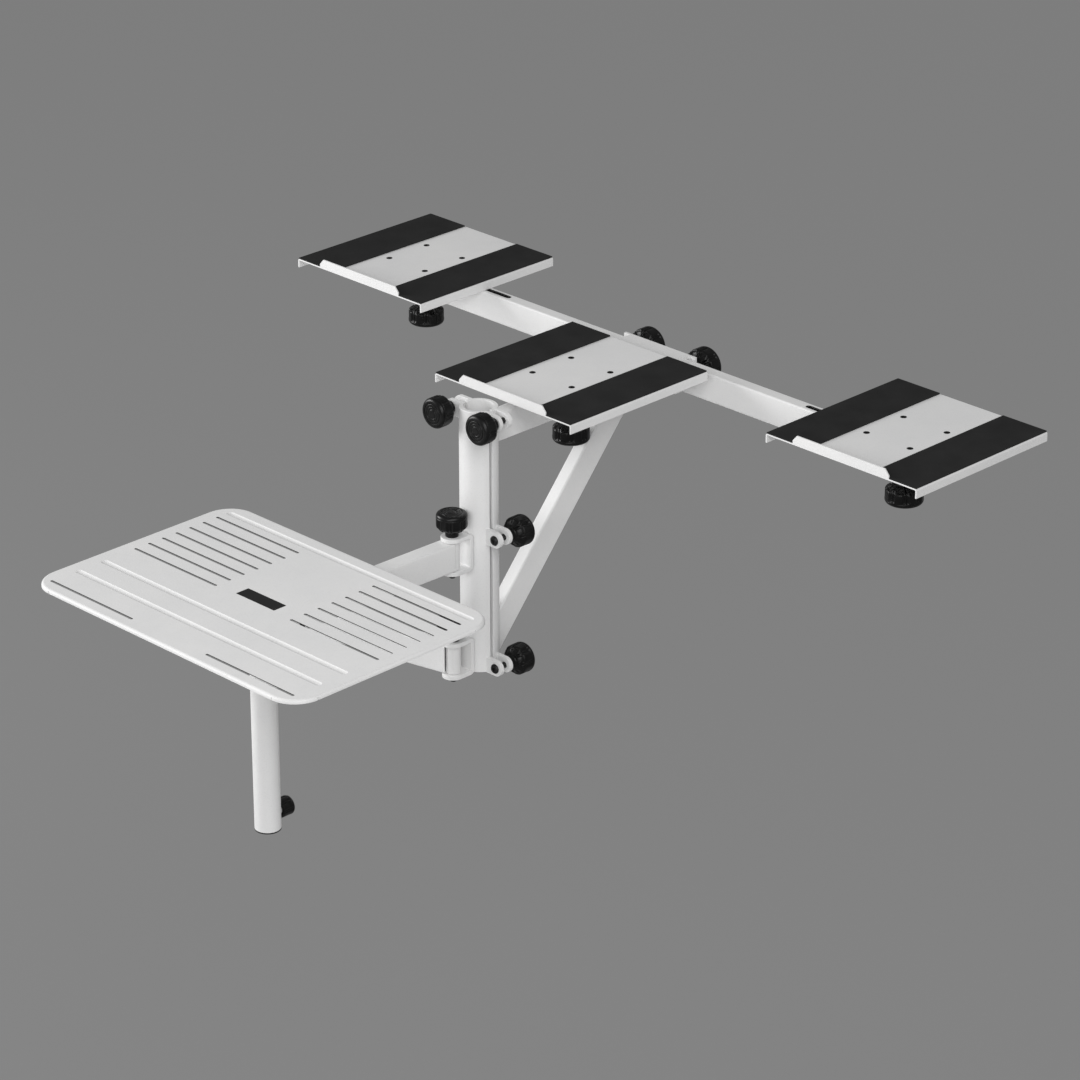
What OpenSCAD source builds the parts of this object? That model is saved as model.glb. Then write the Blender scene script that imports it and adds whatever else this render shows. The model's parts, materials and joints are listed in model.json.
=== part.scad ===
// Clamp-on studio desk for a stand pole. A two-part clamp carries, at the front, a laptop tray on a
// swinging arm and a second swinging arm, and, at the rear, a crossbar with three small trays.
// The origin is on the clamp's axis at its lower end. +X runs along the crossbar, +Y to the rear
// and +Z up. All sizes are in millimetres.

/* [Pole clamp] */
// Diameter of the stand pole that the clamp grips
pole_d = 40; // [38:0.5:42]
// Radial room between the pole and the wall of the clamp
pole_play = 0.1; // [0:0.05:0.3]
// Wall thickness of the two shells
shell_wall = 5.9; // [5:0.1:8]
// Height of the clamp
clamp_h = 375; // [350:1:450]
// Distance from the axis to the front shell's split face
front_split = 5.4; // [4:0.2:7]
// How far the rear shell's split face lies ahead of the axis
rear_split = 0.3; // [0:0.1:1]
// Distance from the shells' outer face to the centre of each ear
ear_out = 14.4; // [13:0.2:20]
// Radius of the ears' round ends
ear_r = 11; // [9:0.5:12]
// Thickness of the ears
ear_t = 6; // [4:0.5:8]
// Height of the middle pair of ears
ear_mid_z = 198; // [180:1:215]

/* [Knobs] */
// Body diameter of the clamp and hinge knobs
knob_d = 42; // [38:1:46]
// Neck diameter of the clamp and hinge knobs
knob_neck_d = 18; // [16:0.5:20]
// Neck length of the clamp and hinge knobs
knob_neck_h = 8; // [6:0.5:12]
// Body diameter of the tray and crossbar knobs
big_knob_d = 51; // [46:1:56]
// Neck diameter of the tray and crossbar knobs
big_neck_d = 22; // [20:0.5:24]
// Neck length of the tray and crossbar knobs
big_neck_h = 14; // [10:0.5:18]
// Body height of every large and small knob
knob_h = 26; // [22:0.5:30]
// Body diameter of the post's thumb knob
thumb_knob_d = 26; // [22:1:30]
// Body height of the post's thumb knob
thumb_knob_h = 13; // [10:0.5:16]

/* [Hinges] */
// Room between the hinge knobs and the clamp
pivot_knob_room = 3; // [1:0.5:13]
// Half the width of a hinge bracket, and the radius of its round end
bracket_r = 15; // [13:0.5:17]
// Plate thickness of the hinge brackets
bracket_t = 6; // [4:0.5:7]
// Underside of the lower bracket
lower_bracket_z = 0; // [0:1:20]
// Underside of the upper bracket
upper_bracket_z = 151.5; // [130:0.5:155]
// Outer diameter of the bushings that the arms turn on
bushing_d = 20.5; // [18:0.5:23]

/* [Arms] */
// Height of the arms' tube
arm_h = 40; // [35:1:45]
// Width of the arms' tube
arm_w = 25; // [22:1:28]
// Wall thickness of all rectangular tubes
tube_wall = 2; // [1.5:0.1:3]
// Hinge axis to post axis on the upper arm
upper_arm_len = 324.6; // [320:0.2:360]
// Direction of the upper arm, in degrees from +X
upper_arm_dir = -91.68; // [-110:0.5:-70]
// Hinge axis to closed end on the lower arm
lower_arm_len = 285; // [200:1:300]
// Direction of the lower arm, in degrees from +X
lower_arm_dir = -167.4; // [-170:0.5:-150]

/* [Tray post] */
// Outer diameter of the post tube
post_d = 35; // [34:0.5:38]
// Wall thickness of the post tube and of the inner post
post_wall = 2; // [1.5:0.1:2.5]
// Radial room between the post tube and the inner post
post_play = 0.3; // [0.2:0.05:0.5]
// Lower end of the post, with its plug
post_foot_z = -109.3; // [-130:0.5:-90]
// Height of the thumb knob's axis above the post's lower end
thumb_above_foot = 21.5; // [20.5:0.5:45]

/* [Laptop tray] */
// Width of the laptop tray
lap_w = 504; // [475:1:520]
// Depth of the laptop tray
lap_d = 343.5; // [335:0.5:380]
// Height of the laptop tray's top surface above the upper arm
lap_above_arm = 19.8; // [17.8:0.5:27.8]
// Sheet thickness of all trays
sheet_t = 2; // [1.5:0.1:2.5]
// Depth of the laptop tray's folded edge, with the sheet
lap_edge = 5.5; // [4.5:0.5:12]
// Corner radius of the laptop tray
lap_corner = 40; // [30:1:50]
// From the laptop tray's sides to the outer ends of its slots
lap_slot_margin = 21; // [15:0.5:40]
// Half the width of the middle of the laptop tray, which has no slots
lap_middle_half = 70; // [60:1:100]
// From the laptop tray's back edge to its first row of slots
back_slot_margin = 45.15; // [40.15:0.5:60.15]
// From the laptop tray's front edge to its front slots
front_slot_margin = 19.75; // [15.75:0.5:30.75]
// Width of the vent slots
slot_w = 4; // [3:0.5:6]
// Spacing of the vent slots
slot_step = 23.3; // [22:0.1:23.5]
// From the laptop tray's sides to the ends of its grooves
groove_margin = 20; // [14:0.5:40]
// From the laptop tray's back edge to its back groove
back_groove_margin = 24.85; // [20.85:0.5:30.85]
// From the hub's rim to the nearer of the two front grooves
groove_hub_room = 11.9; // [8.9:0.5:20.9]
// Spacing of the two front grooves
front_groove_step = 42.3; // [30.3:0.5:50.3]
// Width of the pressed grooves
groove_w = 10; // [8:0.5:12]
// Depth of the pressed grooves
groove_depth = 3; // [2:0.25:3.5]

/* [Small trays] */
// Width of the small trays
tray_w = 253; // [243:1:280]
// Depth of the small trays
tray_d = 259; // [240:1:262]
// Height of the small trays' top surface above the crossbar
tray_above_bar = 13.5; // [13:0.5:17]
// Depth of the side flanges, with the sheet
flange_drop = 12.9; // [7.9:0.5:12.9]
// Height of the front lip above the top surface
lip_rise = 12; // [8:0.5:20]
// Half the length of the front lip
lip_half = 80.5; // [60:0.5:100]
// Half the width of the bare strip between the rubber pads
pad_strip_half = 53; // [50:0.5:65]
// Thickness of the rubber pads
pad_t = 1.5; // [1:0.1:3]
// Half the spacing of the four screws that hold a tray to its mount
tray_screw_half = 36.5; // [30:0.5:40]
// Room between the clamp and the front edge of the middle tray
mid_tray_room = 16.5; // [15:0.5:20]
// From the outer end of the long slot to the centre of a side tray
side_tray_inset = 32.4; // [8.4:1:150.4]

/* [Crossbar] */
// Length of the crossbar's tube
bar_len = 1000; // [980:1:1010]
// From the middle tray's back edge to the crossbar's axis
bar_behind_tray = 29.5; // [25.5:0.5:40]
// Height of the crossbar, the support arm and the brace
bar_h = 40; // [38:0.5:44]
// Thickness of the crossbar, the support arm and the brace
bar_t = 20; // [18:0.5:22]
// From the clamp's upper end down to the top of the crossbar and the support arm
bar_below_top = 17; // [15:0.5:20]
// Length of each long slot
long_slot_len = 204; // [190:1:280]
// From the crossbar's end to the outer end of its long slot
long_slot_margin = 20; // [18:1:25]
// Half the length of the receiver's sleeve
sleeve_half = 55; // [45:1:70]
// Half the length of the receiver's back plate
back_plate_half = 66; // [64:1:80]
// Plate thickness of the receiver
sleeve_t = 4; // [3:0.25:4.5]
// Room between the crossbar and the receiver
sleeve_play = 0.3; // [0.2:0.05:0.5]
// Distance from the middle to each receiver knob
receiver_knob_x = 52; // [40:0.5:54]

/* [Brace] */
// From the receiver to the point where the brace's lower edge meets the support arm
brace_head_room = 26.2485; // [20.2485:0.5:60.2485]
// Height at which the brace's lower edge leaves the clamp
brace_foot_z = 10.4; // [6:0.2:14]

/* [Hidden] */
$fn = 64;

// Colours
white_paint = [0.86, 0.86, 0.86];
black_plastic = [0.06, 0.06, 0.06];
black_steel = [0.1, 0.1, 0.1];
pad_rubber = [0.15, 0.15, 0.15];
brass = [0.75, 0.6, 0.3];

// Fits
cut = 1;
thread_play = 0.2;
bolt_play = 0.5;
swing_gap = 0.6;
bushing_gap = 0.3;
neck_play = 0.25;

// Clamp
bore_r = pole_d / 2 + pole_play;
shell_r = bore_r + shell_wall;
rim_bevel = 1;
ear_face = front_split + ear_t;
ear_x = shell_r + ear_out;
ear_root_bite = 0.5;
ear_root = bore_r + ear_root_bite;
ear_low_z = ear_r;
ear_top_z = clamp_h - ear_r;
seat_y = sqrt(pow(shell_r, 2) - pow(bar_t / 2, 2));
bracket_sink = 1;
bracket_seat_y = shell_r - bracket_sink;
pivot_y = shell_r + knob_d / 2 + pivot_knob_room;

// Bolts, with size 8 for the clamp, hinges and trays
bolt_d = 8;
thread_r = bolt_d / 2 + thread_play;
head_d = 13.5;
head_h = 3;
socket_af = 5;
socket_depth = 1.8;
bolt_in_knob = 22;
small_bolt_d = 6;
small_head_d = 10.5;

// Knobs
knob_lobes = 7;
big_knob_lobes = 8;
lobe_cut_r = 14;
lobe_cut_depth = 1.4;
knob_shoulder = 1;
knob_under_share = 0.34;
knob_edge_share = 0.18;
knob_face_rise = 0.8;
ring_share = 0.55;
dome_share = 0.3;
ring_w = 1.2;
ring_depth = 0.6;
insert_d = 12;
insert_above_neck = 16;
knob_roof = 4;
thumb_neck_h = 3.5;
thumb_neck_d = 12;

// Hinges and arms
bracket_gap = arm_h + 2 * swing_gap;
bracket_h = bracket_gap + 2 * bracket_t;
bracket_bend_r = 7;
stud_below = 7;
arm_start = 6;
upper_arm_z = upper_bracket_z + bracket_t + swing_gap;
lower_arm_z = lower_bracket_z + bracket_t + swing_gap;
lap_z = upper_arm_z + arm_h + lap_above_arm;
plug_flange_t = 2.5;
plug_depth = 15;
tube_corner = 2.5;
tube_corner_in = 0.5;

// Tray post
post_x = upper_arm_len * cos(upper_arm_dir);
post_y = -pivot_y + upper_arm_len * sin(upper_arm_dir);
post_plug_t = 2;
post_plug_depth = 10;
post_foot_gap = 1;
inner_post_r = post_d / 2 - post_wall - post_play;
inner_post_foot = post_foot_z + post_plug_t + post_plug_depth + post_foot_gap;
collar_t = 2.5;
thumb_z = post_foot_z + thumb_above_foot;
thumb_boss_r = 7;
thumb_boss_h = 3;
thumb_seat = post_d / 2 + thumb_boss_h;
stub_play = 0.3;
stub_w = arm_w - 2 * tube_wall - 2 * stub_play;
stub_h = arm_h - 2 * tube_wall - 2 * stub_play;
stub_wall = 2.5;
stub_len = 80;
arm_end_gap = 1;
stub_bolt_in = 57;
stub_bolt_rise = 8;
nut_t = 5;
nut_af = 10;
nut_stud_end = 1;
stud_cross_play = 0.25;

// Laptop tray
hub_r = 55;
hub_t = 6;
hub_z = lap_z - sheet_t - hub_t;
post_top_z = hub_z - collar_t;
spigot_r = 10;
spigot_play = 0.2;
hub_stud_r = 3;
hub_stud_circle = 40;
hub_stud_out = 6.5;
slot_x_in = lap_middle_half;
slot_x_out = lap_w / 2 - lap_slot_margin;
slot_back_y = lap_d / 2 - back_slot_margin;
front_slot_y = front_slot_margin - lap_d / 2;
groove_half = lap_w / 2 - groove_margin;
near_groove_y = -hub_r - groove_hub_room;
groove_rows = [near_groove_y - front_groove_step, near_groove_y, lap_d / 2 - back_groove_margin];
slot_groove_room = 40;
slot_rows = 1 + floor((slot_back_y - groove_rows[1] - slot_groove_room) / slot_step);
badge_size = [72, 21, 0.8];
badge_play = 0.2;
notch_w = 1.5;
lap_bend_r = 4;

// Small trays
bend_r = 3;
bend_r_in = 1;
lip_chamfer = [7, 8];
pad_inset = 1;
pad_w = tray_w / 2 - pad_inset - pad_strip_half;
pad_lip_play = 0.3;
screw_head_r = 3.5;
screw_r = 2;
screw_len = 5.5;
mount_plate_half = 46;
mount_plate_t = 4;
mount_plate_corner = 6;
mount_boss_r = 25;
mount_floor = 2;
bolt_head_r = 10;
bolt_head_t = 4;
pocket_play = 0.3;
neck_hole_r = 6;
neck_len = 6;
neck_half = 4;
long_slot_half = neck_half + neck_play;
washer_r = 13;
washer_t = 4;

// Crossbar
mid_tray_y = shell_r + mid_tray_room + tray_d / 2;
bar_y = mid_tray_y + tray_d / 2 + bar_behind_tray;
bar_top = clamp_h - bar_below_top;
bar_low = bar_top - bar_h;
slot_out = bar_len / 2 - long_slot_margin;
slot_in = slot_out - long_slot_len;
tray_z = bar_top + tray_above_bar;
side_tray_x = slot_out - side_tray_inset;
sleeve_front = bar_y - bar_t / 2 - sleeve_play - sleeve_t;
sleeve_back = bar_y + bar_t / 2 + sleeve_play + sleeve_t;
receiver_stud_gap = 0.3;

// Brace
brace_head_y = sleeve_front - brace_head_room;
brace_slope = atan2(bar_low - brace_foot_z, brace_head_y - seat_y);
brace_seat_h = bar_h / cos(brace_slope) + (shell_r - seat_y) * tan(brace_slope);

// A square's worth of half space, large enough to trim any piece
trim = 2000;

// Shapes that repeat

// A 2D slot with round ends, from x1 to x2
module slot_2d(x1, x2, w) {
    translate([x1 + w / 2, -w / 2]) square([x2 - x1 - w, w]);
    translate([x1 + w / 2, 0]) circle(d = w);
    translate([x2 - w / 2, 0]) circle(d = w);
}

// A 2D rectangle with four round corners, centred
module round_rect_2d(w, d, r) {
    square([w - 2 * r, d], center = true);
    square([w, d - 2 * r], center = true);
    for (sx = [-1, 1], sy = [-1, 1]) {
        translate([sx * (w / 2 - r), sy * (d / 2 - r)]) circle(r);
    }
}

// A 2D rectangle whose two upper corners are round, standing on y = 0
module round_top_2d(w, h, r) {
    translate([-w / 2, 0]) square([w, h - r]);
    translate([-w / 2 + r, 0]) square([w - 2 * r, h]);
    for (s = [-1, 1]) {
        translate([s * (w / 2 - r), h - r]) circle(r);
    }
}

// A plate standing in the XZ plane, from y1 towards +Y
module standing_plate(y1, t) {
    translate([0, y1 + t, 0]) rotate([90, 0, 0]) linear_extrude(t) children();
}

// A rod along Y, from y1 to y2
module rod_y(x, z, y1, y2, r) {
    translate([x, y1, z]) rotate([-90, 0, 0]) cylinder(r = r, h = y2 - y1);
}

// A prism with a hexagon of the given width across flats
module hexagon(af, h) {
    cylinder(d = af / cos(30), h = h, $fn = 6);
}

// A bar along X, from x1 to x2, with a round-cornered section centred on the X axis
module round_bar(x1, x2, w, h, corner) {
    translate([x1, 0, 0]) rotate([90, 0, 90]) linear_extrude(x2 - x1) round_rect_2d(w, h, corner);
}

// A rectangular tube along X, open at both ends, standing on z = 0
module rect_tube(x1, x2, w, h) {
    translate([0, 0, h / 2]) difference() {
        round_bar(x1, x2, w, h, tube_corner);
        round_bar(x1 - cut, x2 + cut, w - 2 * tube_wall, h - 2 * tube_wall, tube_corner_in);
    }
}

// A plug for a rectangular tube's end at x = 0, with its flange towards +X
module rect_plug(w, h) {
    inner_w = w - 2 * tube_wall;
    inner_h = h - 2 * tube_wall;
    translate([0, 0, h / 2]) {
        round_bar(0, plug_flange_t, w, h, tube_corner);
        difference() {
            round_bar(-plug_depth, cut, inner_w, inner_h, tube_corner_in);
            translate([-plug_depth - cut, -inner_w / 2 + tube_wall, -inner_h / 2 + tube_wall])
                cube([plug_depth + cut, inner_w - 2 * tube_wall, inner_h - 2 * tube_wall]);
        }
    }
}

// A low round-headed bolt: its head lies below z = 0 and its shank points up
module socket_bolt(shank, d, head) {
    bevel = head_h / 2;
    difference() {
        rotate_extrude() polygon([
            [0, -head_h], [head / 2 - bevel, -head_h], [head / 2, -head_h + bevel],
            [head / 2, 0], [d / 2, 0], [d / 2, shank], [0, shank]
        ]);
        translate([0, 0, -head_h - cut]) hexagon(socket_af, socket_depth + cut);
    }
}

// The outline of a knob: neck, rounded underside, body, and a face with a raised rim and two rings
function knob_outline(r, neck_r, neck_h, body_h) =
    let (
        top = neck_h + body_h,
        under_h = body_h * knob_under_share,
        edge_r = body_h * knob_edge_share,
        under = [for (a = [0:15:90]) [
            neck_r + knob_shoulder + (r - neck_r - knob_shoulder) * sin(a),
            neck_h + under_h * (1 - cos(a))
        ]],
        edge = [for (a = [0:22.5:90]) [
            r - edge_r + edge_r * cos(a),
            top - edge_r + edge_r * sin(a)
        ]],
        ring = r * ring_share
    )
    concat(
        [[0, 0], [neck_r, 0], [neck_r, neck_h]],
        under,
        edge,
        [
            [ring + ring_w, top],
            [ring + ring_w, top - ring_depth],
            [ring, top - ring_depth],
            [ring, top],
            [r * dome_share, top + knob_face_rise / 2],
            [0, top + knob_face_rise]
        ]
    );

// A knob on its seat at z = 0, with the hollow for its metal insert
module knob_body(d, neck_d, neck_h, body_h, lobes, hollow_r) {
    hollow_h = neck_h + min(insert_above_neck, body_h - knob_roof);
    color(black_plastic) difference() {
        rotate_extrude() polygon(knob_outline(d / 2, neck_d / 2, neck_h, body_h));
        for (i = [0:lobes - 1]) {
            rotate([0, 0, i * 360 / lobes])
                translate([d / 2 + lobe_cut_r - lobe_cut_depth, 0, neck_h - cut])
                    cylinder(r = lobe_cut_r, h = body_h + 2 * cut);
        }
        translate([0, 0, -cut]) cylinder(r = hollow_r, h = hollow_h + cut);
    }
}

// A knob with a threaded insert, which screws onto a bolt
module nut_knob(d, neck_d, neck_h, lobes) {
    insert_h = neck_h + insert_above_neck;
    knob_body(d, neck_d, neck_h, knob_h, lobes, insert_d / 2);
    color(brass) difference() {
        cylinder(d = insert_d, h = insert_h);
        translate([0, 0, -cut]) cylinder(r = thread_r, h = insert_h + 2 * cut);
    }
}

// A knob on its own stud, which reaches below the seat
module stud_knob(d, neck_d, neck_h, body_h, lobes, stud_d, reach) {
    knob_body(d, neck_d, neck_h, body_h, lobes, stud_d / 2);
    color(black_steel) translate([0, 0, -reach])
        cylinder(d = stud_d, h = reach + neck_h + min(insert_above_neck, body_h - knob_roof));
}

module small_knob() {
    nut_knob(knob_d, knob_neck_d, knob_neck_h, knob_lobes);
}

module big_knob() {
    nut_knob(big_knob_d, big_neck_d, big_neck_h, big_knob_lobes);
}

// Pole clamp

// The full ring of wall that both shells are cut from
module shell_ring() {
    rotate_extrude() polygon([
        [bore_r, 0], [shell_r - rim_bevel, 0], [shell_r, rim_bevel],
        [shell_r, clamp_h - rim_bevel], [shell_r - rim_bevel, clamp_h], [bore_r, clamp_h]
    ]);
}

// The three pairs of ears, in plan of the XZ plane
module ears_2d() {
    for (s = [-1, 1], z = [ear_low_z, ear_mid_z, ear_top_z]) {
        translate([s * ear_x, z]) circle(ear_r);
        translate([min(s * ear_root, s * ear_x), z - ear_r]) square([ear_x - ear_root, 2 * ear_r]);
    }
}

module ear_holes(y1, y2) {
    for (s = [-1, 1], z = [ear_low_z, ear_mid_z, ear_top_z]) {
        rod_y(s * ear_x, z, y1 - cut, y2 + cut, (bolt_d + bolt_play) / 2);
    }
}

module front_shell() {
    color(white_paint) difference() {
        union() {
            intersection() {
                shell_ring();
                translate([-trim / 2, -trim - front_split, -trim / 2]) cube(trim);
            }
            standing_plate(-ear_face, ear_t) ears_2d();
        }
        ear_holes(-ear_face, -front_split);
        // Flat seats for the two hinge brackets
        for (z = [lower_bracket_z, upper_bracket_z]) {
            translate([-bracket_r, -bracket_seat_y - trim, z]) cube([2 * bracket_r, trim, bracket_h]);
        }
    }
}

module back_shell() {
    color(white_paint) difference() {
        union() {
            intersection() {
                shell_ring();
                translate([-trim / 2, -rear_split, -trim / 2]) cube(trim);
            }
            standing_plate(front_split, ear_t) ears_2d();
        }
        ear_holes(front_split, ear_face);
        // Flat seats for the support arm and the brace
        translate([-bar_t / 2, seat_y, bar_low]) cube([bar_t, trim, bar_h]);
        translate([-bar_t / 2, seat_y, brace_foot_z]) cube([bar_t, trim, brace_seat_h]);
    }
}

// A clamp bolt from the front, for the low and middle ears
module front_clamp_bolts() {
    for (s = [-1, 1], z = [ear_low_z, ear_mid_z]) {
        color(black_steel) translate([s * ear_x, -ear_face, z]) rotate([-90, 0, 0])
            socket_bolt(2 * ear_face + bolt_in_knob, bolt_d, head_d);
    }
}

// A clamp bolt from the rear, for the top ears
module top_clamp_bolts() {
    for (s = [-1, 1]) {
        color(black_steel) translate([s * ear_x, ear_face, ear_top_z]) rotate([90, 0, 0])
            socket_bolt(2 * ear_face + bolt_in_knob, bolt_d, head_d);
    }
}

module rear_clamp_knob(side, z) {
    translate([side * ear_x, ear_face, z]) rotate([-90, 0, 0]) small_knob();
}

module front_clamp_knob(side) {
    translate([side * ear_x, -ear_face, ear_top_z]) rotate([90, 0, 0]) small_knob();
}

module clamp_knob_low_left() { rear_clamp_knob(-1, ear_low_z); }
module clamp_knob_low_right() { rear_clamp_knob(1, ear_low_z); }
module clamp_knob_mid_left() { rear_clamp_knob(-1, ear_mid_z); }
module clamp_knob_mid_right() { rear_clamp_knob(1, ear_mid_z); }
module clamp_knob_top_left() { front_clamp_knob(-1); }
module clamp_knob_top_right() { front_clamp_knob(1); }

// Hinges

// The side view of a bracket: a U bent from plate, open to the front, in Y and Z
module bracket_side_2d() {
    back = -bracket_seat_y;
    reach = pivot_y + bracket_r - bracket_seat_y;
    difference() {
        union() {
            translate([back - reach, 0]) square([reach - bracket_bend_r, bracket_h]);
            translate([back - reach, bracket_bend_r]) square([reach, bracket_h - 2 * bracket_bend_r]);
            for (z = [bracket_bend_r, bracket_h - bracket_bend_r]) {
                translate([back - bracket_bend_r, z]) circle(bracket_bend_r);
            }
        }
        translate([back - reach - cut, bracket_t]) square([reach + cut - bracket_t, bracket_gap]);
    }
}

module hinge_bracket(z) {
    color(white_paint) translate([0, 0, z]) difference() {
        intersection() {
            translate([bracket_r, 0, 0]) rotate([90, 0, -90]) linear_extrude(2 * bracket_r)
                mirror([1, 0]) bracket_side_2d();
            linear_extrude(bracket_h) {
                translate([0, -pivot_y]) circle(bracket_r);
                translate([-bracket_r, -pivot_y]) square([2 * bracket_r, pivot_y]);
            }
        }
        translate([0, -pivot_y, -cut]) cylinder(r = thread_r, h = bracket_h + 2 * cut);
    }
}

module upper_hinge_bracket() { hinge_bracket(upper_bracket_z); }
module lower_hinge_bracket() { hinge_bracket(lower_bracket_z); }

// The stud screws into the lower plate and the knob closes on the upper one
module pivot_stud(z) {
    color(black_steel) translate([0, -pivot_y, z - stud_below])
        cylinder(d = bolt_d, h = stud_below + bracket_h + bolt_in_knob);
}

module upper_pivot_stud() { pivot_stud(upper_bracket_z); }
module lower_pivot_stud() { pivot_stud(lower_bracket_z); }

module pivot_knob(z) {
    translate([0, -pivot_y, z + bracket_h]) small_knob();
}

module upper_pivot_knob() { pivot_knob(upper_bracket_z); }
module lower_pivot_knob() { pivot_knob(lower_bracket_z); }

// Puts a piece that lies along X on the hinge axis and turns it to an arm's direction
module on_pivot(direction, z) {
    translate([0, -pivot_y, z]) rotate([0, 0, direction]) children();
}

module bushing(z) {
    length = bracket_gap - 2 * bushing_gap;
    color(white_paint) translate([0, -pivot_y, z + bracket_t + bushing_gap]) difference() {
        cylinder(d = bushing_d, h = length);
        translate([0, 0, -cut]) cylinder(r = thread_r, h = length + 2 * cut);
    }
}

module upper_bushing() { bushing(upper_bracket_z); }
module lower_bushing() { bushing(lower_bracket_z); }

// An arm's tube, cut back round its bushing
module arm_tube(length) {
    difference() {
        rect_tube(arm_start, length, arm_w, arm_h);
        translate([0, 0, -cut]) cylinder(d = bushing_d, h = arm_h + 2 * cut);
    }
}

// The two cross holes that bolt the post's stub to the upper arm
module stub_bolt_holes(r) {
    for (s = [-1, 1]) {
        rod_y(upper_arm_len - stub_bolt_in, arm_h / 2 + s * stub_bolt_rise, -arm_w, arm_w, r);
    }
}

module upper_arm() {
    color(white_paint) on_pivot(upper_arm_dir, upper_arm_z) difference() {
        arm_tube(upper_arm_len - post_d / 2 - arm_end_gap);
        stub_bolt_holes(small_bolt_d / 2 + stud_cross_play);
    }
}

module lower_arm() {
    color(white_paint) on_pivot(lower_arm_dir, lower_arm_z) arm_tube(lower_arm_len);
}

module lower_arm_plug() {
    color(black_plastic) on_pivot(lower_arm_dir, lower_arm_z)
        translate([lower_arm_len, 0, 0]) rect_plug(arm_w, arm_h);
}

// Tray post

// A stub welded to the post tube, which slides into the upper arm's hollow end
module post_stub() {
    color(white_paint) on_pivot(upper_arm_dir, upper_arm_z) difference() {
        translate([upper_arm_len - stub_len, -stub_w / 2, (arm_h - stub_h) / 2])
            cube([stub_len, stub_w, stub_h]);
        translate([upper_arm_len - stub_len - cut, -stub_w / 2 + stub_wall, (arm_h - stub_h) / 2 + stub_wall])
            cube([stub_len + 2 * cut, stub_w - 2 * stub_wall, stub_h - 2 * stub_wall]);
        translate([upper_arm_len, 0, -cut]) cylinder(d = post_d, h = arm_h + 2 * cut);
        stub_bolt_holes(small_bolt_d / 2 + stud_cross_play);
    }
}

// Two bolts with their heads on the right-hand side of the arm, and a nut on each
module stub_bolts() {
    shank = arm_w + nut_t + nut_stud_end;
    for (s = [-1, 1]) {
        color(black_steel) on_pivot(upper_arm_dir, upper_arm_z)
            translate([upper_arm_len - stub_bolt_in, arm_w / 2, arm_h / 2 + s * stub_bolt_rise])
                rotate([90, 0, 0]) {
                    socket_bolt(shank, small_bolt_d, small_head_d);
                    translate([0, 0, arm_w]) difference() {
                        hexagon(nut_af, nut_t);
                        translate([0, 0, -cut]) cylinder(d = small_bolt_d, h = nut_t + 2 * cut);
                    }
                }
    }
}

// The outer tube, with a threaded boss for the thumb knob
module post_tube() {
    foot = post_foot_z + post_plug_t;
    color(white_paint) translate([post_x, post_y, 0]) difference() {
        union() {
            translate([0, 0, foot]) cylinder(d = post_d, h = post_top_z - foot);
            rod_y(0, thumb_z, 0, thumb_seat, thumb_boss_r);
        }
        translate([0, 0, foot - cut]) cylinder(r = post_d / 2 - post_wall, h = post_top_z - foot + 2 * cut);
        rod_y(0, thumb_z, 0, thumb_seat + cut, small_bolt_d / 2 + thread_play);
    }
}

// A plug that closes the tube's foot, with a thin black flange
module post_plug() {
    color(black_plastic) translate([post_x, post_y, post_foot_z]) difference() {
        union() {
            cylinder(d = post_d, h = post_plug_t);
            cylinder(r = post_d / 2 - post_wall, h = post_plug_t + post_plug_depth);
        }
        translate([0, 0, 2 * post_plug_t]) cylinder(r = post_d / 2 - 2 * post_wall, h = post_plug_depth);
    }
}

// The inner post turns in the tube. Its collar bears on the tube's rim and carries the hub round its spigot
module inner_post() {
    color(black_steel) translate([post_x, post_y, 0]) difference() {
        union() {
            translate([0, 0, inner_post_foot]) cylinder(r = inner_post_r, h = post_top_z - inner_post_foot);
            translate([0, 0, post_top_z]) cylinder(d = post_d, h = collar_t);
            translate([0, 0, hub_z]) cylinder(r = spigot_r, h = hub_t - bushing_gap);
        }
        translate([0, 0, inner_post_foot - cut])
            cylinder(r = inner_post_r - post_wall, h = post_top_z - inner_post_foot);
    }
}

module post_thumb_knob() {
    reach = thumb_seat - inner_post_r - post_play;
    translate([post_x, post_y + thumb_seat, thumb_z]) rotate([-90, 0, 0])
        stud_knob(thumb_knob_d, thumb_neck_d, thumb_neck_h, thumb_knob_h, knob_lobes, small_bolt_d, reach);
}

// Laptop tray

module at_laptop(z) {
    translate([post_x, post_y, z]) children();
}

// One pressed groove along X, as the solid that it removes or, with a larger radius, the rib below it
module groove_rod(y, extra) {
    r = (pow(groove_w / 2, 2) + pow(groove_depth, 2)) / (2 * groove_depth);
    z = r - groove_depth;
    end = groove_half - groove_w / 2;
    translate([0, y, z]) {
        rotate([0, 90, 0]) cylinder(r = r + extra, h = 2 * end, center = true);
        for (s = [-1, 1]) {
            translate([s * end, 0, 0]) sphere(r = r + extra);
        }
    }
}

// The four narrow corner gaps in the folded edge, one where each round corner begins
module edge_notches() {
    reach = 4 * sheet_t;
    height = lap_edge + cut - sheet_t;
    for (sx = [-1, 1], sy = [-1, 1]) translate([0, 0, -sheet_t - height / 2]) {
        translate([sx * (lap_w / 2 - lap_corner), sy * lap_d / 2, 0])
            cube([notch_w, reach, height], center = true);
        translate([sx * lap_w / 2, sy * (lap_d / 2 - lap_corner), 0])
            cube([reach, notch_w, height], center = true);
    }
}

// One length of the folded edge, in X and Z, with its outer face at the given x
module edge_fold_2d(x) {
    translate([x - sheet_t, -lap_edge]) square([sheet_t, lap_edge - lap_bend_r]);
    translate([x - lap_bend_r, -lap_bend_r]) intersection() {
        square(lap_bend_r);
        difference() {
            circle(lap_bend_r);
            circle(lap_bend_r - sheet_t);
        }
    }
}

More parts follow.
